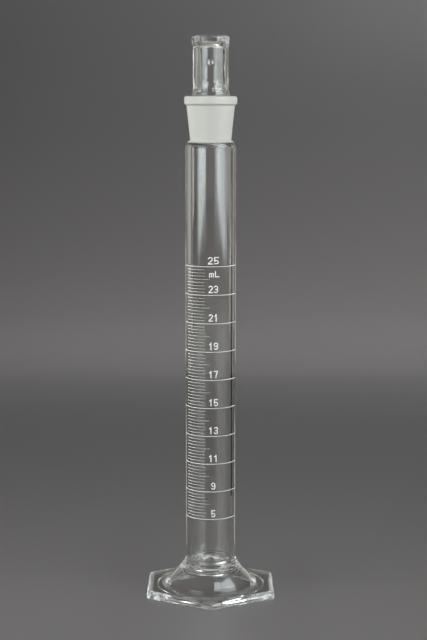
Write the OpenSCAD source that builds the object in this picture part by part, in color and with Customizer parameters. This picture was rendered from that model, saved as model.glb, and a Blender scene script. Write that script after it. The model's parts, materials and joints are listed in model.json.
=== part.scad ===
// Graduated mixing cylinder: a glass tube fused to a hexagonal foot, with a ground neck
// and a hollow ground stopper. Millimetres, +Z up the axis, origin under the foot's centre.

/* [Foot] */
// Width of the hexagonal plate across its flats
foot_across_flats = 49.3; // [46:0.1:60]
// Height of the plate at its rim
plate_height = 2.7; // [2:0.1:3.6]
// How far the plate's corners are cut back
plate_corner_trim = 0.5; // [0.2:0.05:1.2]
// Rounding of the plate's upper edge
plate_top_round = 1.2; // [0.4:0.1:1.4]
// Rounding of the plate's lower edge
plate_bottom_round = 0.5; // [0.2:0.1:0.6]
// Height of the dome's flat seat above the bench
dome_height = 9; // [8:0.1:14]
// Radius of the dome where it meets the plate
dome_base_radius = 17; // [15.5:0.1:18.5]
// Radius of the dome at its seat
dome_seat_radius = 12.1; // [11.6:0.1:13]
// Radius of the curve that the dome's side follows
dome_curve_radius = 24; // [16:0.5:60]
// Radius of the hollow that runs from the dome's side to the plate
dome_fillet_radius = 1.8; // [0.8:0.1:2.4]
// Radius of the shallow recess under the plate
recess_radius = 20.7; // [19.5:0.1:21.5]
// Depth of the recess under the plate
recess_depth = 0.6; // [0.3:0.1:0.9]
// Radius of the hollow's mouth under the dome
hollow_mouth_radius = 16.6; // [14:0.1:16.8]
// Radius of the hollow's ceiling
hollow_top_radius = 10.2; // [8:0.1:10.4]
// Thickness of glass between the hollow and the seat
seat_thickness = 1; // [0.8:0.1:2]

/* [Barrel] */
// Outside diameter of the tube
barrel_diameter = 19.2; // [18.2:0.1:21.2]
// Thickness of the tube's wall
barrel_wall = 1.85; // [1.4:0.05:2.2]
// Thickness of the tube's closed end
barrel_floor = 1.2; // [1:0.1:2]
// Radius inside the tube where the wall meets the closed end
barrel_floor_round = 1.3; // [0.5:0.1:2]
// Length of the tube from the seat to the top of its shoulder
barrel_length = 166.1; // [150:0.1:240]
// Radius of the tube's shoulder
shoulder_radius = 2.2; // [1.6:0.1:2.6]

/* [Neck] */
// Length of the ground socket
neck_length = 16.4; // [14:0.1:24]
// Diameter of the ground bore at the collar
neck_bore_diameter = 14.5; // [14:0.1:15]
// Growth of the ground cone's diameter for each millimetre of length
ground_taper = 0.1; // [0.08:0.01:0.12]
// Thickness of the socket's wall at its lower end
neck_wall_bottom = 1.3; // [1.1:0.05:1.6]
// Thickness of the socket's wall under the collar
neck_wall_top = 2.05; // [1.6:0.05:2.3]
// Diameter of the collar
collar_diameter = 20; // [19.6:0.1:22]
// Height of the collar
collar_height = 3.3; // [2.4:0.1:4.5]
// Rounding of the collar's edges
collar_round = 0.9; // [0.4:0.1:1.1]

/* [Stopper] */
// Radial clearance between the ground cones at rest
ground_clearance = 0.03; // [0.02:0.01:0.06]
// Length of the ground plug below the collar's top
plug_depth = 15; // [12:0.1:15.6]
// Height of the plug's upper end above the collar
plug_stand = 0.5; // [0.3:0.1:1]
// Rounding of the plug's lower edge
plug_tip_round = 1.2; // [0.6:0.1:1.4]
// Thickness of the plug's wall
plug_wall = 1.6; // [1.2:0.1:2]
// Height of the head above the plug
head_height = 22; // [16:0.1:30]
// Outside diameter of the head
head_diameter = 13.4; // [13:0.1:14]
// Thickness of the head's wall
head_wall = 1.95; // [1.5:0.05:2.2]
// Thickness of the head's closed top
head_cap = 2; // [1.5:0.1:3]
// Height of the flare at the foot of the head
flare_height = 2.3; // [1.6:0.1:3]
// Diameter of the bead around the head's top
bead_diameter = 14.3; // [14.1:0.1:15]
// Height of the bead
bead_height = 3.2; // [2.4:0.1:3.6]
// Height of the sealed vent above the plug's upper end
vent_height = 12; // [8:0.1:14]
// Radius of the sealed vent
vent_radius = 1.3; // [0.8:0.1:1.6]
// How far the sealed vent stands out of the head
vent_proud = 0.35; // [0.2:0.05:0.4]

/* [Scale] */
// Height of the lowest ring above the seat
scale_start = 21.1; // [14:0.1:30]
// Distance from one ring to the next
ring_pitch = 10.855; // [8:0.005:11]
// Width of a ring
ring_width = 0.32; // [0.25:0.01:0.5]
// Width of a tick
tick_width = 0.24; // [0.16:0.01:0.4]
// Thickness of the enamel
enamel_thickness = 0.06; // [0.04:0.01:0.12]
// Ticks between one ring and the next
ticks_per_pitch = 8; // [4:1:9]
// Place of the long tick, counted upwards from the lower ring
long_tick_index = 5; // [2:1:8]
// Angle round the tube where the rings begin
ring_start_angle = -80; // [-100:1:-70]
// Angle round the tube that a ring covers
ring_sweep = 155; // [140:1:320]
// Angle round the tube where the ticks begin
tick_start_angle = -64; // [-80:1:-50]
// Angle round the tube that a short tick covers
short_tick_sweep = 50; // [30:1:55]
// Angle round the tube that a long tick covers
long_tick_sweep = 62; // [56:1:75]
// Height of a numeral
numeral_height = 2.8; // [2:0.1:3.2]
// Width of a numeral
numeral_width = 1.66; // [1.4:0.02:1.9]
// Width of a numeral's stroke
stroke_width = 0.4; // [0.3:0.02:0.56]
// How much wider the top ring's numeral is drawn
top_numeral_stretch = 1.15; // [1:0.05:1.3]
// Space from one numeral to the next
numeral_gap = 0.3; // [0.2:0.05:0.4]
// Height of a numeral's base above the middle of its ring
numeral_lift = 0.9; // [0.6:0.05:1.2]
// Distance of the numerals' middle from the tube's front line
numeral_offset = 1; // [0:0.1:1.6]
// Distance of the unit mark's base below the middle of the top ring
unit_drop = 4; // [3.2:0.1:4.6]
// Height of the unit mark
unit_height = 2.4; // [2:0.1:2.8]
// Distance of the unit mark's middle from the numerals' middle
unit_offset = 0.3; // [0:0.1:0.6]

/* [Hidden] */
$fn = 96;
curve_facets = 360;
ring_count = 10;
hex_sides = 6;
step_angle = 360 / hex_sides;
full_turn = 360;
glass_colour = [0.80, 0.86, 0.84, 0.45];
ground_colour = [0.86, 0.88, 0.87, 0.9];
enamel_colour = [0.97, 0.97, 0.95];

plate_apothem = foot_across_flats / 2;
corner_reach = plate_apothem / cos(step_angle / 2) - plate_corner_trim;
hollow_top = dome_height - seat_thickness;
barrel_radius = barrel_diameter / 2;
bore_radius = barrel_radius - barrel_wall;
seat_z = dome_height;
barrel_top = seat_z + barrel_length;
neck_top = barrel_top + neck_length;
neck_bore_radius = neck_bore_diameter / 2;
neck_low_radius = neck_bore_radius - neck_length * ground_taper / 2;
collar_radius = collar_diameter / 2;
collar_low = neck_top - collar_height;
collar_low_bore = neck_bore_radius - collar_height * ground_taper / 2;
plug_low = neck_top - plug_depth;
plug_top = neck_top + plug_stand;
head_radius = head_diameter / 2;
head_bore = head_radius - head_wall;
head_top = plug_top + head_height;
bead_round = bead_height / 2;
mark_radius = barrel_radius + enamel_thickness;
ring_base = seat_z + scale_start;
tick_pitch = ring_pitch / (ticks_per_pitch + 1);
cut_margin = 1;

// Radius of the socket's ground bore and of the plug's ground face at a height
function socket_radius(z) = neck_bore_radius - (neck_top - z) * ground_taper / 2;
function plug_radius(z) = socket_radius(z) - ground_clearance;
function ring_height(n) = ring_base + n * ring_pitch;

// Centre of a circle of radius r that passes through a and b, on the axis side of them
function chord_centre(a, b, r) =
    let (mid = (a + b) / 2, run = b - a, half = norm(run) / 2)
    mid + sqrt(r * r - half * half) * [run[1], -run[0]] / norm(run);

// Ends of the dome's side and of the hollow's side, as radius and height
dome_base = [dome_base_radius, plate_height];
dome_seat = [dome_seat_radius, dome_height];
dome_centre = chord_centre(dome_seat, dome_base, dome_curve_radius);
hollow_mouth = [hollow_mouth_radius, recess_depth];
hollow_ceiling = [hollow_top_radius, hollow_top];
hollow_centre = chord_centre(hollow_ceiling, hollow_mouth, dome_curve_radius);

// Half-plane strip that holds everything between two heights and two radii
module strip(r0, r1, z0, z1) {
    translate([r0, z0]) square([r1 - r0, z1 - z0]);
}

// Section through the plate from its middle out to its rim, with both edges rounded
module rim_section(reach) {
    top = plate_height - plate_top_round;
    strip(0, reach - plate_top_round, 0, plate_height);
    strip(0, reach, plate_bottom_round, top);
    strip(0, reach - plate_bottom_round, 0, top);
    intersection() {
        translate([reach - plate_top_round, top]) circle(plate_top_round);
        strip(0, reach, plate_bottom_round, plate_height);
    }
    intersection() {
        translate([reach - plate_bottom_round, plate_bottom_round]) circle(plate_bottom_round);
        strip(0, reach, 0, top);
    }
}

// Slab between two opposite flats
module flat_slab() {
    rotate([90, 0, 0]) linear_extrude(foot_across_flats * 2, center = true) {
        rim_section(plate_apothem);
        mirror([1, 0]) rim_section(plate_apothem);
    }
}

module plate() {
    intersection() {
        flat_slab();
        rotate(step_angle) flat_slab();
        rotate(-step_angle) flat_slab();
        rotate_extrude() rim_section(corner_reach);
    }
}

module dome_section(low, high) {
    intersection() {
        translate(dome_centre) circle(dome_curve_radius, $fn = curve_facets);
        strip(0, plate_apothem, low, high);
    }
}

// Ring of glass that eases the dome's side into the plate
module dome_fillet() {
    reach = dome_curve_radius + dome_fillet_radius;
    height = plate_height + dome_fillet_radius;
    rise = height - dome_centre[1];
    centre = [dome_centre[0] + sqrt(reach * reach - rise * rise), height];
    difference() {
        polygon([
            dome_base - [cut_margin, cut_margin],
            [centre[0], plate_height - cut_margin],
            [centre[0], plate_height],
            centre,
            dome_centre + (centre - dome_centre) * dome_curve_radius / reach,
            dome_base - [cut_margin, 0]
        ]);
        translate(centre) circle(dome_fillet_radius);
    }
}

module hollow_section() {
    strip(0, recess_radius, -cut_margin, recess_depth);
    intersection() {
        translate(hollow_centre) circle(dome_curve_radius, $fn = curve_facets);
        strip(0, plate_apothem, recess_depth - cut_margin, hollow_top);
    }
}

module foot() {
    color(glass_colour) difference() {
        union() {
            plate();
            rotate_extrude() dome_section(0, dome_height);
            rotate_extrude() dome_fillet();
        }
        rotate_extrude() hollow_section();
    }
}

// Fused ring round the tube's lower end
module foot_seal() {
    seal_top = dome_centre[1] + sqrt(pow(dome_curve_radius, 2) - pow(barrel_radius - dome_centre[0], 2));
    color(glass_colour) rotate_extrude() difference() {
        dome_section(seat_z, seal_top);
        strip(0, barrel_radius, seat_z - cut_margin, seal_top + cut_margin);
    }
}

module barrel_outside() {
    shoulder_low = barrel_top - shoulder_radius;
    strip(0, barrel_radius, seat_z, shoulder_low);
    strip(0, barrel_radius - shoulder_radius, seat_z, barrel_top);
    intersection() {
        translate([barrel_radius - shoulder_radius, shoulder_low]) circle(shoulder_radius);
        strip(0, barrel_radius, seat_z, barrel_top);
    }
}

module barrel_inside() {
    low = seat_z + barrel_floor;
    high = barrel_top - barrel_wall;
    floor_edge = bore_radius - barrel_floor_round;
    neck_round = bore_radius - neck_low_radius;
    strip(0, floor_edge, low, high);
    strip(0, bore_radius, low + barrel_floor_round, high - neck_round);
    strip(0, neck_low_radius, low + barrel_floor_round, barrel_top + cut_margin);
    intersection() {
        translate([floor_edge, low + barrel_floor_round]) circle(barrel_floor_round);
        strip(0, bore_radius, low, high);
    }
    intersection() {
        translate([neck_low_radius, high - neck_round]) circle(neck_round);
        strip(0, bore_radius, low, high);
    }
}

module barrel() {
    color(glass_colour) rotate_extrude() difference() {
        barrel_outside();
        barrel_inside();
    }
}

module neck_socket() {
    color(ground_colour) rotate_extrude() difference() {
        union() {
            polygon([
                [0, barrel_top],
                [neck_low_radius + neck_wall_bottom, barrel_top],
                [collar_low_bore + neck_wall_top, collar_low],
                [collar_low_bore + neck_wall_top, collar_low + collar_round],
                [0, collar_low + collar_round]
            ]);
            strip(0, collar_radius - collar_round, collar_low, neck_top);
            strip(0, collar_radius, collar_low + collar_round, neck_top - collar_round);
            for (z = [collar_low + collar_round, neck_top - collar_round]) intersection() {
                translate([collar_radius - collar_round, z]) circle(collar_round);
                strip(0, collar_radius, collar_low, neck_top);
            }
        }
        polygon([
            [-cut_margin, barrel_top - cut_margin],
            [socket_radius(barrel_top - cut_margin), barrel_top - cut_margin],
            [socket_radius(neck_top + cut_margin), neck_top + cut_margin],
            [-cut_margin, neck_top + cut_margin]
        ]);
    }
}

module stopper_plug() {
    low_radius = plug_radius(plug_low);
    tip = plug_low + plug_tip_round;
    cavity_low = plug_low + plug_wall;
    color(ground_colour) rotate_extrude() difference() {
        union() {
            polygon([
                [0, tip], [plug_radius(tip), tip],
                [plug_radius(plug_top), plug_top], [0, plug_top]
            ]);
            strip(0, plug_radius(tip) - plug_tip_round, plug_low, plug_top);
            intersection() {
                translate([plug_radius(tip) - plug_tip_round, tip]) circle(plug_tip_round);
                strip(0, low_radius + cut_margin, plug_low, tip);
            }
        }
        polygon([
            [-cut_margin, cavity_low], [plug_radius(cavity_low) - plug_wall, cavity_low],
            [plug_radius(plug_top) - plug_wall, plug_top],
            [plug_radius(plug_top) - plug_wall, plug_top + cut_margin],
            [-cut_margin, plug_top + cut_margin]
        ]);
    }
}

module head_outside() {
    flare_top = plug_top + flare_height;
    flare_width = plug_radius(plug_top) - head_radius;
    flare_curve = (pow(flare_width, 2) + pow(flare_height, 2)) / (2 * flare_width);
    strip(0, head_radius, plug_top, head_top - bead_round);
    difference() {
        strip(0, plug_radius(plug_top), plug_top, flare_top);
        translate([head_radius + flare_curve, flare_top]) circle(flare_curve);
    }
    strip(0, bead_diameter / 2 - bead_round, head_top - bead_height, head_top);
    translate([bead_diameter / 2 - bead_round, head_top - bead_round]) circle(bead_round);
}

module head_inside() {
    round_radius = head_wall;
    high = head_top - head_cap;
    strip(-cut_margin, head_bore, plug_top - cut_margin, high - round_radius);
    strip(-cut_margin, head_bore - round_radius, plug_top - cut_margin, high);
    intersection() {
        translate([head_bore - round_radius, high - round_radius]) circle(round_radius);
        strip(0, head_bore, plug_top, high);
    }
    polygon([
        [0, plug_top - cut_margin],
        [plug_radius(plug_top) - plug_wall, plug_top - cut_margin],
        [plug_radius(plug_top) - plug_wall, plug_top],
        [head_bore, plug_top + flare_height],
        [0, plug_top + flare_height]
    ]);
}

module stopper_head() {
    sphere_radius = (pow(vent_radius, 2) + pow(vent_proud, 2)) / (2 * vent_proud);
    color(glass_colour) {
        union() {
            rotate_extrude() difference() {
                head_outside();
                head_inside();
            }
            intersection() {
                translate([0, vent_proud + sphere_radius - 2 * vent_proud - head_radius, plug_top + vent_height])
                    sphere(sphere_radius);
                translate([0, head_wall / 2 - head_radius, plug_top + vent_height])
                    rotate([90, 0, 0]) cylinder(h = head_wall, r = vent_radius);
            }
        }
    }
}

// Line of enamel round part of the tube
module enamel_band(z, width, start, sweep) {
    rotate(start - full_turn / 4) rotate_extrude(angle = sweep)
        strip(barrel_radius, mark_radius, z - width / 2, z + width / 2);
}

module ring_marks() {
    color(enamel_colour) for (n = [0 : ring_count - 1])
        enamel_band(ring_height(n), ring_width, ring_start_angle, ring_sweep);
}

module long_ticks() {
    color(enamel_colour) for (n = [0 : ring_count - 2])
        enamel_band(ring_height(n) + long_tick_index * tick_pitch, tick_width, tick_start_angle, long_tick_sweep);
}

module short_ticks() {
    color(enamel_colour) for (n = [0 : ring_count - 2], i = [1 : ticks_per_pitch])
        if (i != long_tick_index)
            enamel_band(ring_height(n) + i * tick_pitch, tick_width, tick_start_angle, short_tick_sweep);
}

// Straight stroke of a numeral, from one point to another
module bar(a, b) {
    run = b - a;
    translate(a) rotate(atan2(run[1], run[0]))
        translate([0, -stroke_width / 2]) square([norm(run), stroke_width]);
}

// Round stroke of a numeral, turning anticlockwise from one angle to another
module bow(centre, radius, from, to) {
    steps = 8;
    reach = 2 * (radius + stroke_width);
    translate(centre) intersection() {
        difference() {
            circle(radius + stroke_width / 2);
            circle(radius - stroke_width / 2);
        }
        polygon(concat([[0, 0]], [
            for (i = [0 : steps])
                let (a = from + (to - from) * i / steps) reach * [cos(a), sin(a)]
        ]));
    }
}

// Numerals are drawn in a box of numeral_width by numeral_height
half_stroke = stroke_width / 2;
left = half_stroke;
right = numeral_width - half_stroke;
low = half_stroke;
high = numeral_height - half_stroke;
middle = numeral_width / 2;
bowl = (right - left) / 2;
lower_bowl = [middle, low + bowl];
upper_bowl = [middle, high - bowl];

module digit_1() {
    stem = middle + half_stroke / 2;
    bar([stem, 0], [stem, numeral_height]);
    bar([half_stroke, high - bowl], [stem, high - half_stroke]);
}

module digit_2() {
    turn = -35;
    bow(upper_bowl, bowl, turn, 170);
    bar(upper_bowl + bowl * [cos(turn), sin(turn)] + [half_stroke / 4, half_stroke / 4], [left, low + half_stroke / 2]);
    bar([0, low], [numeral_width, low]);
}

module digit_3() {
    bow(upper_bowl, bowl, -90, 165);
    bow(lower_bowl, bowl, -165, 90);
    bar([middle - bowl / 2, numeral_height / 2], [middle + half_stroke, numeral_height / 2]);
}

module digit_5() {
    turn = 140;
    bow(lower_bowl, bowl, -160, turn);
    bar(lower_bowl + bowl * [cos(turn), sin(turn)] - [0, half_stroke], [left + half_stroke / 4, numeral_height]);
    bar([left, high], [numeral_width, high]);
}

module digit_7() {
    bar([0, high], [numeral_width, high]);
    bar([middle - half_stroke / 2, 0], [right - half_stroke / 4, high]);
}

module digit_9() {
    bow(upper_bowl, bowl, 0, 180);
    bow(upper_bowl, bowl, -180, 0);
    bow(lower_bowl, bowl, -160, 0);
    bar([right, lower_bowl[1] - half_stroke / 4], [right, upper_bowl[1] + half_stroke / 4]);
}

module digit(n) {
    if (n == 1) digit_1();
    if (n == 2) digit_2();
    if (n == 3) digit_3();
    if (n == 5) digit_5();
    if (n == 7) digit_7();
    if (n == 9) digit_9();
}

// Wraps a flat drawing onto the front of the tube
module on_tube(z) {
    intersection() {
        rotate([90, 0, 0]) translate([numeral_offset, z, 0])
            linear_extrude(mark_radius + cut_margin) children();
        rotate_extrude()
            strip(barrel_radius, mark_radius, z - cut_margin, z + numeral_height + cut_margin);
    }
}

module numeral(value) {
    tens = floor(value / 10);
    units = value - 10 * tens;
    count = tens > 0 ? 2 : 1;
    advance = numeral_width + numeral_gap;
    start = -(count * advance - numeral_gap) / 2;
    ring = value == 5 ? 0 : (value - 7) / 2;
    stretch = ring == ring_count - 1 ? top_numeral_stretch : 1;
    color(enamel_colour) on_tube(ring_height(ring) + numeral_lift) scale([stretch, 1]) {
        if (tens > 0) translate([start, 0]) digit(tens);
        translate([start + (count - 1) * advance, 0]) digit(units);
    }
}

module numeral_25() { numeral(25); }
module numeral_23() { numeral(23); }
module numeral_21() { numeral(21); }
module numeral_19() { numeral(19); }
module numeral_17() { numeral(17); }
module numeral_15() { numeral(15); }
module numeral_13() { numeral(13); }
module numeral_11() { numeral(11); }
module numeral_9() { numeral(9); }
module numeral_5() { numeral(5); }

module letter_m() {
    arch = (numeral_width - half_stroke) / 4;
    shoulder = unit_height * 0.7 - half_stroke - arch;
    for (i = [0 : 1]) bow([left + (2 * i + 1) * arch, shoulder], arch, 0, 180);
    for (i = [0 : 2]) bar([left + 2 * i * arch, 0], [left + 2 * i * arch, shoulder + half_stroke / 2]);
}

module letter_l() {
    bar([left, 0], [left, unit_height]);
    bar([0, low], [numeral_width, low]);
}

module unit_mark() {
    advance = numeral_width + 2 * numeral_gap;
    color(enamel_colour) on_tube(ring_height(ring_count - 1) - unit_drop) {
        translate([unit_offset + numeral_gap - advance, 0]) letter_m();
        translate([unit_offset + numeral_gap, 0]) letter_l();
    }
}

foot();
foot_seal();
barrel();
neck_socket();
stopper_plug();
stopper_head();
ring_marks();
long_ticks();
short_ticks();
numeral_25();
numeral_23();
numeral_21();
numeral_19();
numeral_17();
numeral_15();
numeral_13();
numeral_11();
numeral_9();
numeral_5();
unit_mark();
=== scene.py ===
import json
import math

import bmesh
import bpy
from mathutils import Matrix, Vector

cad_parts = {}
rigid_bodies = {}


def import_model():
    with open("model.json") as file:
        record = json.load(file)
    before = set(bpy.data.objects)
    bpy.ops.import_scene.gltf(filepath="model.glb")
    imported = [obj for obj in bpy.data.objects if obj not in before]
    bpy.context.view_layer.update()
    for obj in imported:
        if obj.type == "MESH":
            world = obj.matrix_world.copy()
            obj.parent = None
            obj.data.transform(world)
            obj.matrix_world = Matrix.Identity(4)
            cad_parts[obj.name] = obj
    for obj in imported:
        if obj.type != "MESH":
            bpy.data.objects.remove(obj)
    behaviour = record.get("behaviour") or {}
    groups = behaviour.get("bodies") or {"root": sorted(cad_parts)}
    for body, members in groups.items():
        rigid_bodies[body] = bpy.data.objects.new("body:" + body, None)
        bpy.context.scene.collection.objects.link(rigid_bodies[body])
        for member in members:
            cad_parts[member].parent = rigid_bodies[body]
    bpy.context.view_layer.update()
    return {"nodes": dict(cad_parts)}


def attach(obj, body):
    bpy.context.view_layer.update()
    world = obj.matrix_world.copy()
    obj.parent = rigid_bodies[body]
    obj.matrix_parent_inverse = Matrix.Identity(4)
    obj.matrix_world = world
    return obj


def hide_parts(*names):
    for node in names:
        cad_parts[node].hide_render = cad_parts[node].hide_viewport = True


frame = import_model()
mm = 0.001
turn = math.tau
hairline = 1e-7  # in metres; points closer than this are one point
print("frame loaded:", len(frame["nodes"]), "nodes")


class Wire:  # one output socket; sums on it add Math nodes to its tree
    def __init__(self, board, socket):
        self.board, self.socket = board, socket

    def __add__(self, other):
        return self.board.math("ADD", self, other)

    __radd__ = __add__

    def __sub__(self, other):
        return self.board.math("SUBTRACT", self, other)

    def __rsub__(self, other):
        return self.board.math("SUBTRACT", other, self)

    def __mul__(self, other):
        return self.board.math("MULTIPLY", self, other)

    __rmul__ = __mul__

    def __truediv__(self, other):
        return self.board.math("DIVIDE", self, other)

    def __rtruediv__(self, other):
        return self.board.math("DIVIDE", other, self)

    def __gt__(self, other):
        return self.board.math("GREATER_THAN", self, other)

    def __lt__(self, other):
        return self.board.math("LESS_THAN", self, other)

    def out(self, name):  # another output of the same node
        return Wire(self.board, self.socket.node.outputs[name])


class Board:  # one node tree, of a material or a shape
    def __init__(self, tree):
        self.tree = tree

    def node(self, kind, settings=None, sockets=None):
        made = self.tree.nodes.new(kind)
        for name, value in (settings or {}).items():
            setattr(made, name, value)
        for key, value in (sockets or {}).items():
            if isinstance(value, Wire):
                self.tree.links.new(value.socket, made.inputs[key])
            else:
                made.inputs[key].default_value = value
        return Wire(self, made.outputs[0]) if made.outputs else None

    def math(self, operation, *values):
        return self.node("ShaderNodeMath", {"operation": operation}, dict(enumerate(values)))

    def join(self, x, y, z):
        return self.node("ShaderNodeCombineXYZ", None, {"X": x, "Y": y, "Z": z})

    def split(self, vector):
        parts = self.node("ShaderNodeSeparateXYZ", None, {"Vector": vector})
        return parts, parts.out("Y"), parts.out("Z")

    def place(self):  # where on the piece, in metres
        return self.node("ShaderNodeTexCoord").out("Object")

    def noise(self, place, scale, detail=2.0, roughness=0.5):
        return self.node("ShaderNodeTexNoise", None, {
            "Vector": place, "Scale": scale, "Detail": detail, "Roughness": roughness})

    def bump(self, strength, distance, height):
        return self.node("ShaderNodeBump", None, {
            "Strength": strength, "Distance": distance, "Height": height})

    def mixColour(self, share, first, second):
        made = self.node("ShaderNodeMix", {"data_type": "RGBA"}, {"Factor": share, 6: first, 7: second})
        return made.out(2)

    def span(self, value, low, high, newLow, newHigh):
        return self.node("ShaderNodeMapRange", None, {
            "Value": value, 1: low, 2: high, 3: newLow, 4: newHigh})


class ShapeTree(Board):  # a Geometry Nodes tree with named inputs
    def __init__(self, name, inputs):
        super().__init__(bpy.data.node_groups.new(name, "GeometryNodeTree"))
        face = self.tree.interface
        face.new_socket("Geometry", in_out="INPUT", socket_type="NodeSocketGeometry")
        self.ids = {}
        for label, (kind, value) in inputs.items():
            made = face.new_socket(label, in_out="INPUT", socket_type="NodeSocket" + kind)
            if value is not None:
                made.default_value = value
            self.ids[label] = made.identifier
        face.new_socket("Geometry", in_out="OUTPUT", socket_type="NodeSocketGeometry")
        self.start = self.node("NodeGroupInput")

    def given(self, label):
        return self.start.out(label)

    def named(self, attribute):
        return self.node("GeometryNodeInputNamedAttribute", {"data_type": "FLOAT"}, {"Name": attribute})

    def finish(self, geometry):
        self.node("NodeGroupOutput", None, {"Geometry": geometry})

    def grow(self, name, values, source=None):  # plain mesh object made from the tree's result
        holder = bpy.data.objects.new(name + "Source", source or bpy.data.meshes.new(name + "Source"))
        bpy.context.scene.collection.objects.link(holder)
        modifier = holder.modifiers.new("shape", "NODES")
        modifier.node_group = self.tree
        for label, value in values.items():
            modifier[self.ids[label]] = value
        shown = holder.evaluated_get(bpy.context.evaluated_depsgraph_get())
        mesh = bpy.data.meshes.new_from_object(shown)
        mesh.name = name
        holder.modifiers.remove(modifier)
        bpy.data.objects.remove(holder)
        return newObject(name, mesh)


def newObject(name, data):
    made = bpy.data.objects.new(name, data)
    bpy.context.scene.collection.objects.link(made)
    return made


def newFinish(name):
    finish = bpy.data.materials.new(name)
    finish.use_nodes = True
    finish.node_tree.nodes.clear()
    return finish, Board(finish.node_tree)


def endFinish(board, sockets):
    shader = board.node("ShaderNodeBsdfPrincipled", None, sockets)
    board.node("ShaderNodeOutputMaterial", None, {"Surface": shader})


usualNoise = (0.3, 0.7)  # most values of a noise lie between these
noiseMiddle = 0.5

clearLook = {
    "tint": (0.98, 0.982, 0.962, 1), "deepTint": (0.963, 0.966, 0.935, 1), "ior": 1.473,
    "drawScale": 420, "drawStretch": 0.04, "dustScale": 900, "smearScale": 60, "smearSpan": (0.55, 0.8),
    "haze": 0.012, "bump": 0.02, "depth": 0.0002,
}


def makeClearGlass():
    look = clearLook
    finish, board = newFinish("clearGlass")
    place = board.place()
    x, y, z = board.split(place)
    drawn = board.noise(board.join(x, y, z * look["drawStretch"]), look["drawScale"])  # long streaks
    dust = board.noise(place, look["dustScale"], detail=3)
    smear = board.span(board.noise(place, look["smearScale"]), *look["smearSpan"], 0, 1)
    endFinish(board, {
        "Base Color": board.mixColour(drawn, look["tint"], look["deepTint"]),
        "Roughness": smear * dust * look["haze"],
        "Normal": board.bump(look["bump"], look["depth"], drawn),
        "Transmission Weight": 1.0, "IOR": look["ior"]})
    return finish


grinding = {
    "ior": 1.473, "grainScale": 5200, "grainRoughness": 0.6, "grainShare": 0.6, "markScale": 2600,
    "markStretch": 0.15, "roughSwing": 0.06, "depth": 0.00005,
}
groundLook = {
    "colour": (0.85, 0.86, 0.83, 1), "worn": (0.79, 0.795, 0.765, 1), "rough": 0.55,
    "transmission": 0.5, "bump": 0.25,
}
lappedLook = {
    "colour": (0.97, 0.96, 0.92, 1), "worn": (0.93, 0.92, 0.87, 1), "rough": 0.6,
    "transmission": 1.0, "bump": 0.2,
}


def makeGroundGlass(name, look):
    g = grinding
    finish, board = newFinish(name)
    place = board.place()
    x, y, z = board.split(place)
    grain = board.noise(place, g["grainScale"], detail=3, roughness=g["grainRoughness"])
    around = board.join(x * g["markStretch"], y * g["markStretch"], z)
    marks = board.noise(around, g["markScale"])  # turning marks of the grinding
    height = grain * g["grainShare"] + marks * (1 - g["grainShare"])
    least, most = look["rough"] - g["roughSwing"], look["rough"] + g["roughSwing"]
    endFinish(board, {
        "Base Color": board.mixColour(height, look["worn"], look["colour"]),
        "Roughness": board.span(height, *usualNoise, least, most),
        "Normal": board.bump(look["bump"], g["depth"], height),
        "Transmission Weight": look["transmission"], "IOR": g["ior"]})
    return finish


printing = {
    "coverScale": 1600, "coverRoughness": 0.6, "coverSpan": (0.35, 0.65), "speckScale": 9000,
    "speckShare": 0.5, "sheenSpan": (0.0045, 0.0078),  # metres from the middle over which the print is painted lighter towards the flanks, a painted sheen
    "smoother": 0.08, "rougher": 0.12, "bump": 0.3, "depth": 0.00002, "ior": 1.5, "shine": 0.12,
}
# side is the print's colour with a painted sheen, used towards the tube's left and right flanks; the
# numerals' side matches their colour
numeralLook = {
    "colour": (0.77, 0.77, 0.77, 1), "thin": (0.64, 0.64, 0.64, 1), "side": (0.77, 0.77, 0.77, 1),
    "rough": 0.42,
}
ringLook = {
    "colour": (0.56, 0.56, 0.55, 1), "thin": (0.44, 0.44, 0.43, 1), "side": (0.68, 0.68, 0.66, 1),
    "rough": 0.44,
}
tickLook = {
    "colour": (0.37, 0.37, 0.36, 1), "thin": (0.27, 0.27, 0.26, 1), "side": (0.66, 0.66, 0.64, 1),
    "rough": 0.46,
}


def makeEnamel(name, look):
    p = printing
    finish, board = newFinish(name)
    place = board.place()
    # how thickly the print lies
    cover = board.noise(place, p["coverScale"], detail=3, roughness=p["coverRoughness"])
    speck = board.noise(place, p["speckScale"])
    colour = board.mixColour(board.span(cover, *p["coverSpan"], 0, 1), look["thin"], look["colour"])
    # painted sheen: towards the tube's left and right flanks the print is painted lighter, as if light
    # glanced off it there
    across, _, _ = board.split(place)
    flankSheen = board.span(board.math("ABSOLUTE", across), *p["sheenSpan"], 0, 1)
    least, most = look["rough"] - p["smoother"], look["rough"] + p["rougher"]
    endFinish(board, {
        "Base Color": board.mixColour(flankSheen, colour, look["side"]),
        "Roughness": board.span(speck, *usualNoise, least, most),
        "Normal": board.bump(p["bump"], p["depth"], cover + speck * p["speckShare"]),
        "IOR": p["ior"], "Specular IOR Level": p["shine"]})
    return finish


clearGlass = makeClearGlass()
groundGlass = makeGroundGlass("groundGlass", groundLook)  # frosted faces that are seen from outside
lappedGlass = makeGroundGlass("lappedGlass", lappedLook)  # faces of plug and socket that were ground together
numeralEnamel = makeEnamel("numeralEnamel", numeralLook)
ringEnamel = makeEnamel("ringEnamel", ringLook)
tickEnamel = makeEnamel("tickEnamel", tickLook)
print("finishes ready")

longGap, nearEnd = 0.6, 0.12  # in mm; a point this near to each end of a long gap holds its shading flat
leastSteps = 4  # of a rounding


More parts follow.
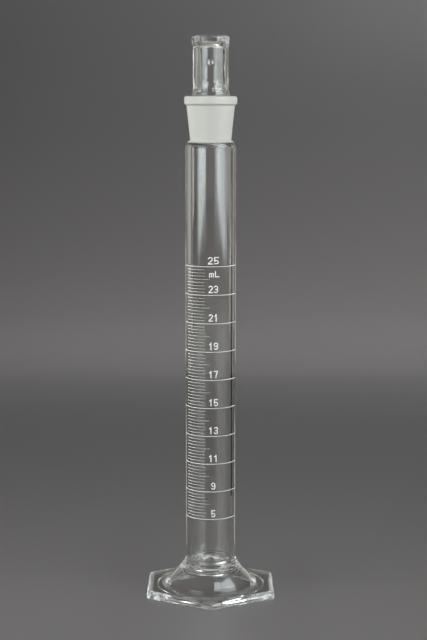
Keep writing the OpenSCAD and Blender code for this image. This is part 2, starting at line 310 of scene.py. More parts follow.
def cornered(corners, reach, turnStep):
    # points along a line whose corners (radius, height, rounding) are rounded; a gap over longGap gets points
    # at most reach apart, and a rounding turns by about turnStep degrees from point to point
    line = []
    for i, (r, z, bend) in enumerate(corners):
        here = Vector((r, z))
        if bend == 0 or i in (0, len(corners) - 1):
            line.append(here)
            continue
        back = (Vector(corners[i - 1][:2]) - here).normalized()
        on = (Vector(corners[i + 1][:2]) - here).normalized()
        half = back.angle(on) / 2
        run = bend / math.tan(half)
        centre = here + (back + on).normalized() * bend / math.sin(half)
        first, last = here + back * run - centre, here + on * run - centre
        sweep = first.angle_signed(last)
        steps = max(leastSteps, round(abs(sweep) / math.radians(turnStep)))
        for k in range(steps + 1):
            line.append(centre + Matrix.Rotation(-sweep * k / steps, 2) @ first)
    filled = [line[0]]
    for a, b in zip(line, line[1:]):
        gap = (b - a).length
        if gap > longGap:
            parts = math.ceil(gap / reach)
            stops = [nearEnd / gap] + [k / parts for k in range(1, parts)] + [1 - nearEnd / gap]
            filled += [a.lerp(b, s) for s in sorted(stops)]
        filled.append(b)
    return filled


def bowed(start, end, radius, steps):
    # corners along an arc that bulges away from the axis
    a, b = Vector(start), Vector(end)
    run = b - a
    half = run.length / 2
    centre = (a + b) / 2 + Vector((run.y, -run.x)).normalized() * math.sqrt(radius ** 2 - half ** 2)
    if centre.x > (a.x + b.x) / 2:
        centre = (a + b) - centre
    first, last = a - centre, b - centre
    sweep = first.angle_signed(last)
    return [tuple(centre + Matrix.Rotation(-sweep * k / steps, 2) @ first) + (0,) for k in range(steps + 1)]


def profileMesh(name, points, tags):
    # points are (radius, height) in mm; tags hold one number for each point
    mesh = bpy.data.meshes.new(name)
    edges = [(i, i + 1) for i in range(len(points) - 1)]
    mesh.from_pydata([(p[0] * mm, 0, p[1] * mm) for p in points], edges, [])
    for tag, values in tags.items():
        mesh.attributes.new(tag, "FLOAT", "POINT").data.foreach_set("value", values)
    return mesh


turningLimits = {
    "mergeWithin": 0.000001, "offAxis": 0.0001,  # the second keeps a division safe on the axis
    "groundOver": 0.45,  # a face is ground where its tag is over this
}


def plateEdge(tree, angle):
    # how far out the plate's edge lies: six flats with rounded corners
    apothem, bend = tree.given("Apothem"), tree.given("Corner Round")
    sixth, twelfth = turn / 6, turn / 12
    folded = tree.math("FLOORED_MODULO", angle + twelfth, sixth)
    off = tree.math("ABSOLUTE", folded - twelfth)  # turn from the nearest flat's middle
    reach = (apothem - bend) / math.cos(twelfth)
    lean = twelfth - off
    side = reach * tree.math("SINE", lean)
    bulge = tree.math("SQRT", tree.math("MAXIMUM", bend * bend - side * side, 0.0))
    corner = reach * tree.math("COSINE", lean) + bulge
    flat = apothem / tree.math("COSINE", off)
    onFlat = tree.math("TANGENT", off) * apothem < (apothem - bend) * math.tan(twelfth)
    return onFlat * flat + (1 - onFlat) * corner


def unevenness(tree, tag, x, y, height):
    # how far the glass moves outwards and upwards: slow waves where it was drawn, quick ripples where it was
    # worked, and the vent's pip
    seed, waveScale = tree.given("Seed"), tree.given("Wave Scale")
    stretched = height * tree.given("Wave Stretch")
    swell = tree.noise(tree.join(x + seed, y + seed, stretched + seed), waveScale, detail=3.0) - noiseMiddle
    sag = tree.noise(tree.join(y - seed, x + seed, stretched), waveScale, detail=1.0) - noiseMiddle
    wave = tag("wave") * tree.given("Wave Height")
    uneven = tree.noise(tree.join(x, y, height), tree.given("Ripple Scale"), detail=1.0) - noiseMiddle
    ripple = uneven * tag("ripple") * tree.given("Ripple Height")
    above = height - tree.given("Vent Height")
    away = tree.math("SQRT", x * x + above * above) / tree.given("Vent Radius")
    bell = tree.math("EXPONENT", tree.math("POWER", away, 2.0) * -1.0)
    pip = (y < 0) * bell * tree.given("Vent Rise") * tag("vent")
    return wave * swell + ripple + pip, wave * sag


def finishTurning(tree, shape, tag):
    # closes seam and poles, and gives each zone its finish
    for name in ("ground", "lapped"):
        shape = tree.node("GeometryNodeStoreNamedAttribute", {"data_type": "FLOAT", "domain": "POINT"},
                          {"Geometry": shape, "Name": name, "Value": tag(name)})
    within = turningLimits["mergeWithin"]
    shape = tree.node("GeometryNodeMergeByDistance", None, {"Geometry": shape, "Distance": within})
    shape = tree.node("GeometryNodeSetShadeSmooth", None, {"Geometry": shape})
    shape = tree.node("GeometryNodeRealizeInstances", None, {"Geometry": shape})
    shape = tree.node("GeometryNodeSetMaterial", None, {"Geometry": shape, "Material": tree.given("Clear")})
    for name, finish in (("ground", "Ground"), ("lapped", "Lapped")):
        chosen = tree.named(name) > turningLimits["groundOver"]
        shape = tree.node("GeometryNodeSetMaterial", None, {
            "Geometry": shape, "Selection": chosen, "Material": tree.given(finish)})
    tree.finish(shape)


def makeTurningTree():
    # turns a profile round the axis: a grid with one row for each of its points
    tree = ShapeTree("turnedGlass", {
        "Rows": ("Int", 100), "Facets": ("Int", 256), "Apothem": ("Float", 0.02465),
        "Corner Round": ("Float", 0.0033), "Wave Height": ("Float", 0.00003), "Wave Scale": ("Float", 120.0),
        "Wave Stretch": ("Float", 0.2), "Seed": ("Float", 0.0), "Ripple Height": ("Float", 0.00005),
        "Ripple Scale": ("Float", 600.0), "Vent Height": ("Float", 1.0), "Vent Radius": ("Float", 0.001),
        "Vent Rise": ("Float", 0.0),
        "Clear": ("Material", None), "Ground": ("Material", None), "Lapped": ("Material", None)})
    columns = tree.given("Facets") + 1
    grid = tree.node("GeometryNodeMeshGrid", None, {"Vertices X": tree.given("Rows"), "Vertices Y": columns})
    index = tree.node("GeometryNodeInputIndex")
    row = tree.math("FLOOR", (index + 0.5) / columns)  # the half guards against rounding
    angle = (index - row * columns) * turn / tree.given("Facets")

    def onProfile(kind, value):
        return tree.node("GeometryNodeSampleIndex", {"data_type": kind, "domain": "POINT"},
                         {"Geometry": tree.given("Geometry"), "Value": value, "Index": row})

    def tag(name):
        return onProfile("FLOAT", tree.named(name))

    radius, _, height = tree.split(onProfile("FLOAT_VECTOR", tree.node("GeometryNodeInputPosition")))
    hexagon = plateEdge(tree, angle)
    spread = radius * (1 + tag("hexShare") * (hexagon / tree.given("Apothem") - 1))
    x, y = spread * tree.math("COSINE", angle), spread * tree.math("SINE", angle)
    outwards, upwards = unevenness(tree, tag, x, y, height)
    grown = 1 + outwards / (spread + turningLimits["offAxis"])
    place = tree.join(x * grown, y * grown, height + upwards)
    shape = tree.node("GeometryNodeSetPosition", None, {"Geometry": grid, "Position": place})
    finishTurning(tree, shape, tag)
    return tree


def faceOutwards(shell):
    if shell.calc_volume(signed=True) < 0:
        bmesh.ops.reverse_faces(shell, faces=shell.faces)


def closeUp(piece):
    # drops what the merged poles left, and turns the whole skin outwards if it came out reversed
    shell = bmesh.new()
    shell.from_mesh(piece.data)
    bmesh.ops.dissolve_degenerate(shell, dist=hairline, edges=shell.edges)
    bmesh.ops.delete(shell, geom=[e for e in shell.edges if not e.link_faces], context="EDGES")
    bmesh.ops.delete(shell, geom=[v for v in shell.verts if not v.link_faces], context="VERTS")
    faceOutwards(shell)
    for face in shell.faces:
        face.smooth = True
    loose = sum(1 for e in shell.edges if len(e.link_faces) != 2)
    millilitres = round(shell.calc_volume() * 1e6, 2)
    print(piece.name, "faces", len(shell.faces), "open edges", loose, "ml", millilitres)
    shell.to_mesh(piece.data)
    shell.free()


turning = makeTurningTree()
glassFinishes = {"Clear": clearGlass, "Ground": groundGlass, "Lapped": lappedGlass}


def turnGlass(name, sizes, points, tags, extra):
    values = {
        "Rows": len(points), "Facets": sizes["facets"], "Seed": sizes["seed"],
        "Wave Height": sizes["waveHeight"] * mm, "Wave Scale": sizes["waveScale"],
        "Wave Stretch": sizes["waveStretch"], "Ripple Height": sizes["rippleHeight"] * mm,
        "Ripple Scale": sizes["rippleScale"]}
    profile = profileMesh(name + "Profile", points, tags)
    piece = turning.grow(name, {**values, **extra, **glassFinishes}, profile)
    closeUp(piece)
    return piece


# Sizes are in mm, from the axis and from the bench. A corner is (radius, height, rounding), but the floor's
# heights count from floorHeight, and the rim's first numbers say how far it lies in from a flat.
cylinder = {
    # collar and ground neck
    "neckTop": 191.5, "neckBore": 7.25, "lipRound": 0.3,
    "collarRadius": 10.0, "collarLow": 188.2, "collarTopRound": 1.0, "collarLowRound": 0.7,
    "coneTop": 9.15, "coneTopRound": 0.5, "coneLow": 7.83, "coneRise": 0.35,
    "coneFoot": 7.76, "coneSink": 0.12, "coneFootRound": 0.3,
    # tube; the shoulder's start and step are in degrees
    "barrelTop": 175.18, "barrelRadius": 9.61, "barrelLow": 12.9, "barrelLowRound": 0.3,
    "shoulderRound": 3.0, "shoulderStart": 66, "shoulderStep": 6, "shoulderPoints": 12,
    "throatHeight": 175.1, "throatRadius": 6.43, "throatRound": 0.5, "ceiling": 173.25, "ceilingRound": 1.15,
    "boreRadius": 7.75, "boreStart": 2.7, "boreStartRound": 2.2, "floorHeight": 10.2,
    "floor": [(0, 0.35, 0), (4, 0.3, 2), (6.1, 0, 0.25), (6.6, 0.3, 0.25), (7.4, 1.2, 1.3)],
    # fused ring, dome and plate
    "seal": [(9.95, 12.35, 0.3), (9.85, 11.8, 0.25), (10.4, 11.2, 0.3), (10.5, 10.65, 0.25),
             (11.2, 10.2, 0.3), (11.35, 9.8, 0.25)],
    "dome": {"start": (11.9, 9.25), "end": (16.0, 4.4), "radius": 24, "steps": 9},
    "domeFoot": [(17.6, 2.74, 3.6)],
    "apothem": 24.65, "cornerRound": 2.1, "plateTop": [(19.2, 2.7, 0), (20.2, 2.7, 0)],
    "rim": [(2.1, 2.66, 1.2), (0.6, 2.25, 0.9), (0, 1.3, 0.6), (0.1, 0.6, 0.35), (0, 0, 0.25)],
    "underside": [(22.2, 0, 0), (20.75, 0, 0.12), (20.6, 0.6, 0.2), (16.9, 0.6, 2.0)],
    "hollow": {"start": (15.4, 2.9), "end": (11.5, 7.2), "radius": 24, "steps": 8},
    "hollowTop": [(11.1, 7.75, 0.3), (10.4, 7.9, 0.3), (9.9, 7.55, 0.25), (9.3, 8.0, 0.3), (8.6, 7.7, 0.3),
                  (7.8, 8.1, 0.4), (4, 8.15, 0), (0, 8.2, 0)],
    # how finely it is made, and how uneven its glass is
    "reach": 5.0, "turnStep": 11, "facets": 240, "seed": 3.7,
    "waveHeight": 0.05, "waveScale": 160.0, "waveStretch": 0.15, "rippleHeight": 0.16, "rippleScale": 420.0,
}
# where the cylinder's glass is six-sided, ground or uneven, in the same sizes
cylinderZones = {
    "hexStart": 20.0, "hexOver": 2.2, "recessRadius": 20.75, "plateInner": 19, "plateLow": 2,
    "groundBelow": 0.85, "lappedBelow": 0.05, "benchSide": 0.3, "waveFade": 3, "rippleFade": 4,
    "throatLow": 172, "throatWave": 0.25, "outsideWave": 0.3,
    "floorWorked": 14, "sealLow": 9.6, "sealTop": 13, "rimStart": 21.5, "rimRipple": 0.6,
}


def cylinderOutline():
    c = cylinder
    low, edge, bend = c["floorHeight"], c["apothem"], c["shoulderRound"]
    inside = [(r, low + rise, rounding) for r, rise, rounding in c["floor"]] + [
        (c["boreRadius"], low + c["boreStart"], c["boreStartRound"]),
        (c["boreRadius"], c["ceiling"], c["ceilingRound"]),
        (c["throatRadius"], c["ceiling"], c["throatRound"]),
        (c["throatRadius"], c["throatHeight"], 0),
        (c["neckBore"], c["neckTop"], c["lipRound"])]
    neck = [
        (c["collarRadius"], c["neckTop"], c["collarTopRound"]),
        (c["collarRadius"], c["collarLow"], c["collarLowRound"]),
        (c["coneTop"], c["collarLow"], c["coneTopRound"]),
        (c["coneLow"], c["barrelTop"] + c["coneRise"], 0),
        (c["coneFoot"], c["barrelTop"] - c["coneSink"], c["coneFootRound"])]
    centre = Vector((c["barrelRadius"] - bend, c["barrelTop"] - bend))
    angles = [math.radians(c["shoulderStart"] - c["shoulderStep"] * k) for k in range(c["shoulderPoints"])]
    shoulder = [(centre.x + bend * math.cos(a), centre.y + bend * math.sin(a), 0) for a in angles]
    barrelLow = [(c["barrelRadius"], c["barrelLow"], c["barrelLowRound"])]
    rim = [(edge - inset, z, rounding) for inset, z, rounding in c["rim"]]
    return (inside + neck + shoulder + barrelLow + c["seal"] + bowed(**c["dome"]) + c["domeFoot"]
            + c["plateTop"] + rim + c["underside"] + bowed(**c["hollow"]) + c["hollowTop"])


def hexShare(r, z):
    zone = cylinderZones
    if r > zone["recessRadius"] or (z > zone["plateLow"] and r > zone["plateInner"]):
        return min(1, max(0, (r - zone["hexStart"]) / zone["hexOver"]))
    return 0


def cylinderWave(inner, r, z):
    zone = cylinderZones
    if z <= zone["benchSide"]:
        return 0
    if inner:
        return min(1, r / zone["waveFade"]) * (zone["throatWave"] if z > zone["throatLow"] else 1)
    return zone["outsideWave"] * min(1, r / zone["waveFade"])


def cylinderRipple(inner, r, z):
    # glass that was worked in the flame stays uneven, and so does the pressed rim
    zone = cylinderZones
    worked = z < zone["floorWorked"] if inner else zone["sealLow"] < z < zone["sealTop"]
    if worked:
        return min(1, r / zone["rippleFade"])
    pressed = not inner and r > zone["rimStart"] and z > zone["benchSide"]
    return zone["rimRipple"] if pressed else 0


def makeCylinder():
    c, zone = cylinder, cylinderZones
    points = cornered(cylinderOutline(), c["reach"], c["turnStep"])
    top = max(range(len(points)), key=lambda i: points[i][1])  # the inside comes first, then the outside
    tags = {"hexShare": [], "ground": [], "lapped": [], "wave": [], "ripple": [], "vent": [0] * len(points)}
    for i, (r, z) in enumerate(points):
        inner = i < top
        seat = inner and z > c["ceiling"] - zone["lappedBelow"] and r < c["neckBore"]
        tags["hexShare"].append(hexShare(r, z))
        tags["ground"].append(1 if not inner and z > c["barrelTop"] - zone["groundBelow"] else 0)
        tags["lapped"].append(1 if seat else 0)
        tags["wave"].append(cylinderWave(inner, r, z))
        tags["ripple"].append(cylinderRipple(inner, r, z))
    piece = turnGlass("cylinderGlass", c, points, tags, {
        "Apothem": c["apothem"] * mm, "Corner Round": c["cornerRound"] * mm})
    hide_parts("foot", "foot_seal", "barrel", "neck_socket")
    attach(piece, "cylinder")


stopper = {
    "plugLow": 176.5, "plugLowRound": 1.2, "plugTop": 192.0, "plugTopRound": 0.2,
    "seatTop": 191.5, "seatRadius": 7.22, "taper": 0.05,  # how much the radius shrinks for each mm down
    "flare": [(6.95, 193.2, 1.5), (6.66, 194.6, 2.5)],
    "grip": [(6.74, 197.5, 5), (6.66, 203, 8), (6.7, 209.8, 2)],
    "bead": [(7.15, 210.9, 0.9), (7.15, 213.5, 1.15), (6.3, 214.0, 0.6), (0, 213.9, 0)],
    "headHollow": [(0, 211.9, 0), (4.75, 212.0, 2.6), (4.85, 205, 6), (4.75, 197.4, 0.9)],
    "plugHollow": [(4.95, 195.0, 1.6), (5.55, 192.8, 2), (5.65, 191.5, 2), (5.0, 178.1, 1.6), (0, 178.1, 0)],
    "ventHeight": 204, "ventRadius": 0.9, "ventRise": 0.42, "ventInside": -1.2,
    "reach": 0.45, "turnStep": 12, "facets": 200, "seed": 11.3,
    "waveHeight": 0.36, "waveScale": 190.0, "waveStretch": 0.3, "rippleHeight": 0.24, "rippleScale": 620.0,
}
# where the stopper's glass is ground or uneven
stopperZones = {
    "lappedLow": 177.6, "lappedTop": 191.9, "axisFade": 2,
    "plugEnd": 193, "plugWave": 0.06, "headWave": 0.35, "plugHollowWave": 0.4,
    "gripLow": 198, "gripHollowWave": 1, "flareHollowWave": 2,
    "flareLow": 192.8, "flareTop": 197.5, "beadLow": 209, "gripRipple": 0.12,
}


def stopperWave(outer, z):
    zone = stopperZones
    if outer:
        return zone["plugWave"] if z < zone["plugEnd"] else zone["headWave"]
    if z < zone["plugEnd"]:
        return zone["plugHollowWave"]
    return zone["gripHollowWave"] if z > zone["gripLow"] else zone["flareHollowWave"]


def stopperRipple(z):
    zone = stopperZones
    if zone["flareLow"] < z < zone["flareTop"] or z > zone["beadLow"]:
        return 1
    return zone["gripRipple"] if z > zone["flareLow"] else 0


def makeStopper():
    s, zone = stopper, stopperZones

    def plugRadius(z):
        return s["seatRadius"] - (s["seatTop"] - z) * s["taper"]

    plug = [(0, s["plugLow"], 0), (plugRadius(s["plugLow"]), s["plugLow"], s["plugLowRound"]),
            (plugRadius(s["plugTop"]), s["plugTop"], s["plugTopRound"])]
    outside = cornered(plug + s["flare"] + s["grip"] + s["bead"], s["reach"], s["turnStep"])
    points = outside + cornered(s["headHollow"] + s["plugHollow"], s["reach"], s["turnStep"])
    nothing = [0] * len(points)
    tags = {"hexShare": nothing, "ground": nothing, "lapped": [], "wave": [], "ripple": [], "vent": []}
    for i, (r, z) in enumerate(points):
        outer, fade = i < len(outside), min(1, r / zone["axisFade"])
        tags["lapped"].append(1 if outer and zone["lappedLow"] < z < zone["lappedTop"] else 0)
        tags["wave"].append(fade * stopperWave(outer, z))
        tags["ripple"].append(fade * stopperRipple(z))
        tags["vent"].append(1 if outer else s["ventInside"])
    piece = turnGlass("stopperGlass", s, points, tags, {
        "Vent Height": s["ventHeight"] * mm, "Vent Radius": s["ventRadius"] * mm,
        "Vent Rise": s["ventRise"] * mm})
    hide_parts("stopper_plug", "stopper_head")
    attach(piece, "stopper")


makeCylinder()
makeStopper()
print("glass turned")


# lengths in mm; starts and sweeps in degrees round the tube, counted from its front
scale = {"lowestRing": 30.1, "ringPitch": 10.855, "rings": 10, "ticks": 8, "longTick": 5,
         "radius": 9.6, "thickness": 0.06, "front": -90}
ringLine = {"width": 0.32, "start": -80, "sweep": 155, "steps": 72, "enamel": ringEnamel}
longLine = {"width": 0.24, "start": -64, "sweep": 62, "steps": 12, "enamel": tickEnamel}
shortLine = {"width": 0.24, "start": -64, "sweep": 50, "steps": 10, "enamel": tickEnamel}


def makeLineTree():
    tree = ShapeTree("scaleLines", {
        "Lowest": ("Float", 0.03), "Pitch": ("Float", 0.01), "Count": ("Int", 10),
        "Radius": ("Float", 0.0095), "Thickness": ("Float", 0.00006), "Line Width": ("Float", 0.0003),
        "Start": ("Float", 0.0), "Sweep": ("Float", 1.0), "Steps": ("Int", 12), "Finish": ("Material", None)})
    thickness = tree.given("Thickness")
    arc = tree.node("GeometryNodeCurveArc", {"mode": "RADIUS"}, {
        "Resolution": tree.given("Steps"), "Radius": tree.given("Radius") + thickness / 2,
        "Start Angle": tree.given("Start"), "Sweep Angle": tree.given("Sweep")})
    stroke = tree.node("GeometryNodeCurvePrimitiveQuadrilateral", None, {
        "Width": thickness, "Height": tree.given("Line Width")})
    line = tree.node("GeometryNodeCurveToMesh", None, {
        "Curve": arc, "Profile Curve": stroke, "Fill Caps": True})
    places = tree.node("GeometryNodeMeshLine", None, {
        "Count": tree.given("Count"), "Start Location": tree.join(0.0, 0.0, tree.given("Lowest")),
        "Offset": tree.join(0.0, 0.0, tree.given("Pitch"))})
    spread = tree.node("GeometryNodeInstanceOnPoints", None, {"Points": places, "Instance": line})
    real = tree.node("GeometryNodeRealizeInstances", None, {"Geometry": spread})
    tree.finish(tree.node("GeometryNodeSetMaterial", None, {
        "Geometry": real, "Material": tree.given("Finish")}))
    return tree


lines = makeLineTree()


def makeLines(name, node, heights, count, line):
    # one grown row of lines for each starting height, joined into one piece
    joined = bmesh.new()
    for height in heights:
        row = lines.grow(name + "Row", {
            "Lowest": height * mm, "Pitch": scale["ringPitch"] * mm, "Count": count,
            "Radius": scale["radius"] * mm, "Thickness": scale["thickness"] * mm,
            "Line Width": line["width"] * mm, "Start": math.radians(line["start"] + scale["front"]),
            "Sweep": math.radians(line["sweep"]), "Steps": line["steps"], "Finish": line["enamel"]})
        joined.from_mesh(row.data)
        bpy.data.objects.remove(row)
    bmesh.ops.remove_doubles(joined, verts=joined.verts, dist=hairline)
    faceOutwards(joined)
    mesh = bpy.data.meshes.new(name)
    joined.to_mesh(mesh)
    joined.free()
    mesh.materials.append(line["enamel"])
    piece = newObject(name, mesh)
    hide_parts(node)
    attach(piece, "cylinder")


def makeScale():
    spaces = scale["rings"] - 1
    pitch = scale["ringPitch"] / (scale["ticks"] + 1)
    heights = {i: scale["lowestRing"] + i * pitch for i in range(1, scale["ticks"] + 1)}
    longHeight = heights.pop(scale["longTick"])
    makeLines("scaleRings", "ring_marks", [scale["lowestRing"]], scale["rings"], ringLine)
    makeLines("longTicks", "long_ticks", [longHeight], spaces, longLine)
    makeLines("shortTicks", "short_ticks", heights.values(), spaces, shortLine)
    for name, node in frame["nodes"].items():
        if name.startswith("numeral") or name == "unit_mark":
            node.data.materials.clear()
            node.data.materials.append(numeralEnamel)


makeScale()
print("scale printed")


# sizes of the studio in metres
paper = {
    "colour": (0.426, 0.412, 0.417, 1), "fibreScale": 700, "fibreShade": 0.97, "rough": 0.42, "shine": 0.4,
    "bump": 0.05, "depth": 0.0002, "front": -2.5, "sweepStart": 0.75, "sweepRadius": 0.35, "sweepSteps": 24,
    "halfWidth": 2.4, "wallTop": 2.2, "height": -0.00006,  # a hair under the foot
}


def makePaper():
    finish, board = newFinish("backdropPaper")
    fibre = board.noise(board.place(), paper["fibreScale"], detail=3)
    shaded = tuple(v * paper["fibreShade"] for v in paper["colour"][:3]) + (1,)
    endFinish(board, {
        "Base Color": board.mixColour(fibre, shaded, paper["colour"]), "Roughness": paper["rough"],
        "Normal": board.bump(paper["bump"], paper["depth"], fibre), "Specular IOR Level": paper["shine"]})
    return finish


def makeBackdrop():
    start, radius, steps = paper["sweepStart"], paper["sweepRadius"], paper["sweepSteps"]
    angles = [math.pi / 2 * k / steps for k in range(1, steps + 1)]
    profile = [(paper["front"], 0.0), (start, 0.0)]
    profile += [(start + radius * math.sin(a), radius * (1 - math.cos(a))) for a in angles]
    profile.append((start + radius, paper["wallTop"]))
    verts = [(side * paper["halfWidth"], y, z + paper["height"]) for y, z in profile for side in (-1, 1)]
    faces = [(2 * i, 2 * i + 1, 2 * i + 3, 2 * i + 2) for i in range(len(profile) - 1)]
    mesh = bpy.data.meshes.new("backdrop")
    mesh.from_pydata(verts, [], faces)
    for polygon in mesh.polygons:
        polygon.use_smooth = True
    mesh.materials.append(makePaper())
    piece = newObject("backdrop", mesh)
    return piece


def makeGroup(name, piece, state):
    # list for light linking: the backdrop alone, or everything but the backdrop
    group = bpy.data.collections.new(name)
    group.objects.link(piece)
    group.collection_objects[0].light_linking.link_state = state
    return group


# Soft boxes stand upright and face the object: azimuth 0 is in front of it, 90 to the reader's right.
# Fades are the soft widths of a box's left, right, lower and upper edge as the object sees it.
# Lean, in degrees, raises the right edge. Belt and crown are how much brighter a middle strip and the upper
# part shine than the lower part.
cool, warm = (0.88, 0.95, 1.0), (1.0, 0.99, 0.94)
crisp, short = (0.01, 0.01, 0.01, 0.1), (0.001, 0.001, 0.001, 0.01)
bigBoxes = {
    "rightBox": {"azimuth": 59, "distance": 0.9, "height": 0.045, "width": 0.89, "tall": 1.35, "power": 4.6,
                 "colour": cool, "fades": (0.12, 0.02, 0.03, 0.2), "lean": 4.8, "crown": 1.95, "belt": 0.6},
    "leftBox": {"azimuth": -45, "distance": 0.9, "height": 0.045, "width": 0.75, "tall": 0.66, "power": 4.6,
                "colour": cool, "fades": (0.02, 0.25, 0.12, 0.1), "crown": 1.2, "belt": 0.6},
}
screens = {
    "rightScreenFar": {"azimuth": 164, "distance": 1.0, "height": 0.04, "width": 0.09, "tall": 0.7,
                       "power": 0.26, "colour": warm, "fades": crisp},
    "rightScreenMiddle": {"azimuth": 153, "distance": 0.7, "height": 0.0, "width": 0.10, "tall": 0.7,
                          "power": 0.36, "colour": warm, "fades": (0.02, 0.02, 0.01, 0.1)},
    "rightScreenNear": {"azimuth": 145, "distance": 0.5, "height": 0.0, "width": 0.07, "tall": 0.7,
                        "power": 0.28, "colour": warm, "fades": crisp},
    "rightFlag": {"azimuth": 131, "distance": 0.15, "height": 0.001, "width": 0.03, "tall": 0.178,
                  "power": 0.0, "colour": warm, "fades": (0.003, 0.003, 0.003, 0.01)},
    "rightCrown": {"azimuth": 27, "distance": 0.9, "height": 0.75, "width": 0.40, "tall": 0.85,
                   "power": 9.5, "colour": cool, "fades": (0.05, 0.001, 0.1, 0.2)},
    "leftScreenFar": {"azimuth": -163.5, "distance": 1.0, "height": 0.04, "width": 0.10, "tall": 0.7,
                      "power": 0.38, "colour": warm, "fades": crisp},
    "leftScreenMiddle": {"azimuth": -153, "distance": 0.7, "height": 0.0, "width": 0.19, "tall": 0.7,
                         "power": 0.19, "colour": warm, "fades": crisp},
    "leftScreenNear": {"azimuth": -133, "distance": 0.5, "height": -0.06, "width": 0.24, "tall": 0.76,
                       "power": 0.17, "colour": warm, "fades": crisp, "crown": 2.2, "belt": 2.2},
    "highScreen": {"azimuth": 180, "distance": 0.95, "height": 0.55, "width": 1.4, "tall": 0.8,
                   "power": 0.6, "colour": warm, "fades": (0.05, 0.05, 0.05, 0.05)},
}
cards = {
    "rightEdgeCard": {"azimuth": 143, "distance": 0.062, "height": 0.001, "width": 0.014, "tall": 0.06,
                      "power": 1.25, "colour": warm, "fades": short},
    "leftEdgeCard": {"azimuth": -143, "distance": 0.062, "height": 0.001, "width": 0.012, "tall": 0.06,
                     "power": 0.9, "colour": warm, "fades": short},
    "leftFarCard": {"azimuth": -157, "distance": 0.089, "height": 0.001, "width": 0.018, "tall": 0.06,
                    "power": 0.6, "colour": warm, "fades": short},
    "rearCard": {"azimuth": 180, "distance": 0.5, "height": 0.004, "width": 0.6, "tall": 0.09,
                 "power": 0.6, "colour": warm, "fades": (0.01, 0.01, 0.001, 0.01)},
}
cloth = {"belt": (0.10, 0.14), "crown": (0.215, 0.405),  # heights over a box's lower edge
         "dimmest": 0.3}  # power that a dimmer box counts as where its edges fade
room = {"colour": (0.30, 0.297, 0.285, 1), "bounces": 48, "clearBounces": 8, "brightest": 6.0}


def makeCloth(name, width, tall, power, colour, fades, crown, belt):
    finish, board = newFinish(name + "Cloth")
    x, y, _ = board.split(board.place())
    half, rise = width / 2, tall / 2
    glow = board.span(x, -half, -half + fades[0], 0, 1) * board.span(x, half - fades[1], half, 1, 0)
    glow = glow * board.span(y, -rise, -rise + fades[2], 0, 1) * board.span(y, rise - fades[3], rise, 1, 0)
    # the edges fade into the room
    dusk = tuple(v / max(power, cloth["dimmest"]) for v in room["colour"][:3]) + (1,)
    beltLow, beltTop = (-rise + z for z in cloth["belt"])
    crownLow, crownTop = (-rise + z for z in cloth["crown"])
    lift = board.span(y, beltLow, beltTop, 1, belt) + board.span(y, crownLow, crownTop, 0, crown - belt)
    shown = board.node("ShaderNodeVectorMath", {"operation": "SCALE"}, {
        0: board.mixColour(glow, dusk, colour + (1,)), "Scale": lift})
    endFinish(board, {
        "Base Color": (0, 0, 0, 1), "Specular IOR Level": 0.0,
        "Emission Color": shown, "Emission Strength": power})
    return finish


def addBox(name, azimuth, distance, height, width, tall, power, colour, fades, lean=0.0, crown=1.0, belt=1.0):
    half, rise = width / 2, tall / 2
    mesh = bpy.data.meshes.new(name)
    corners = [(-half, -rise, 0), (half, -rise, 0), (half, rise, 0), (-half, rise, 0)]
    mesh.from_pydata(corners, [], [(0, 1, 2, 3)])
    mesh.materials.append(makeCloth(name, width, tall, power, colour, fades, crown, belt))
    box = newObject(name, mesh)
    a = math.radians(azimuth)
    seat = Vector((math.sin(a), -math.cos(a), 0)) * distance
    facing = Vector((-math.sin(a), math.cos(a), 0))
    upright = Vector((0, 0, 1))
    turned = Matrix((upright.cross(facing), upright, facing)).transposed()
    turned = turned @ Matrix.Rotation(math.radians(lean), 3, "Z")
    box.matrix_world = Matrix.Translation(seat + upright * (height + rise)) @ turned.to_4x4()
    box.visible_camera = box.visible_shadow = False
    box.visible_diffuse = False  # the fill lamps light what is frosted or printed
    return box


# the first lamps light the paper alone, and the fill lamps everything but the paper
paperLamps = {
    "nearLamp": {"place": (-0.5, -0.10, 0.30), "aim": (-0.5, -0.10, 0), "size": (1.6, 0.1), "power": 0.98},
    "farLamp": {"place": (0.5, 0.655, 0.45), "aim": (0.5, 0.655, 0), "size": (1.8, 0.1), "power": 0.92},
    "lowLamp": {"place": (0.6, 0.63, 0.17), "aim": (0.6, 0.63, 0), "size": (1.8, 0.38), "power": 0.49},
    "wallLamp": {"place": (1.3, 0.7, 0.25), "aim": (0.2, 1.1, 0.25), "size": (0.3, 0.4), "power": 3.4},
    "evenLamp": {"place": (0, -1.5, 2.5), "aim": (0, 0.5, 0.2), "size": (2.5, 2.5), "power": 6.6},
}
fillLamps = {
    "leftFill": {"place": (-0.82, -0.34, 0.35), "aim": (0, 0, 0.12), "size": (0.6, 0.6), "power": 13.2,
                 "colour": (0.99, 1.0, 0.97)},
    "rightFill": {"place": (0.73, -0.44, 0.35), "aim": (0, 0, 0.12), "size": (0.6, 0.6), "power": 10.6,
                  "colour": (0.99, 1.0, 0.975)},
}


def addLamp(name, place, aim, size, power, colour=(1.0, 1.0, 1.0)):
    # soft lamp that isn't seen, not even in the glass
    lamp = bpy.data.lights.new(name, "AREA")
    lamp.shape, lamp.energy, lamp.color = "RECTANGLE", power, colour
    lamp.size, lamp.size_y = size
    holder = newObject(name, lamp)
    holder.location = place
    holder.rotation_euler = (Vector(aim) - Vector(place)).to_track_quat("-Z", "Y").to_euler()
    holder.visible_camera = holder.visible_glossy = holder.visible_transmission = False
    return holder


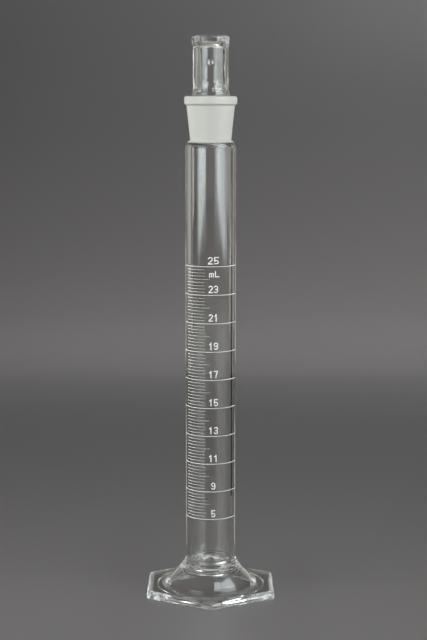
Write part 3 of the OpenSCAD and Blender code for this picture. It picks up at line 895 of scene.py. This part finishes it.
def makeRoom():
    scene = bpy.context.scene
    world = bpy.data.worlds.new("room")
    scene.world = world
    world.use_nodes = True
    world.node_tree.nodes["Background"].inputs["Color"].default_value = room["colour"]
    world.cycles_visibility.diffuse = False  # the room shows in the glass and doesn't light the paper
    scene.view_settings.view_transform = "Standard"
    cycles = scene.cycles
    cycles.max_bounces = cycles.transmission_bounces = cycles.glossy_bounces = room["bounces"]
    cycles.transparent_max_bounces = room["clearBounces"]
    cycles.sample_clamp_indirect = room["brightest"]
    cycles.caustics_refractive = cycles.caustics_reflective = False


def makeStudio():
    backdrop = makeBackdrop()
    paperOnly = makeGroup("paperOnly", backdrop, "INCLUDE")
    notPaper = makeGroup("notPaper", backdrop, "EXCLUDE")
    for name, settings in bigBoxes.items():  # the only boxes that the paper's satin face shows
        addBox(name, **settings)
    for name, settings in {**screens, **cards}.items():
        box = addBox(name, **settings)
        box.light_linking.receiver_collection = notPaper
        if name in cards:  # they only draw the light lines along the edges of tube and foot
            box.visible_transmission = False
    for name, settings in paperLamps.items():
        lamp = addLamp(name, **settings)
        lamp.light_linking.receiver_collection = paperOnly
        lamp.light_linking.blocker_collection = paperOnly
    for name, settings in fillLamps.items():
        addLamp(name, **settings).light_linking.receiver_collection = notPaper
    makeRoom()


# angles in radians; the focal length is in pixels of the photograph, which is 640 pixels high
view = {"back": 0.6043, "height": 0.1899, "yaw": 0.0018, "pitch": 0.1375, "roll": -0.00036,
        "focalPixels": 1588.0, "photoHeight": 640, "sensor": 36, "clip": (0.01, 20)}


def makeCamera():
    yaw, pitch, roll = view["yaw"], view["pitch"], view["roll"]
    lens = bpy.data.cameras.new("photoView")
    lens.lens = view["focalPixels"] * view["sensor"] / view["photoHeight"]
    lens.sensor_width, lens.sensor_fit = view["sensor"], "AUTO"
    lens.clip_start, lens.clip_end = view["clip"]
    forward = Vector((math.sin(yaw) * math.cos(pitch), math.cos(yaw) * math.cos(pitch), -math.sin(pitch)))
    right = Vector((math.cos(yaw), -math.sin(yaw), 0))
    up = right.cross(forward)
    side = right * math.cos(roll) - up * math.sin(roll)
    top = right * math.sin(roll) + up * math.cos(roll)
    turned = Matrix((side, top, -forward)).transposed().to_4x4()
    camera = newObject("photoView", lens)
    camera.matrix_world = Matrix.Translation((0, -view["back"], view["height"])) @ turned
    bpy.context.scene.camera = camera


makeStudio()
makeCamera()
print("studio lit")
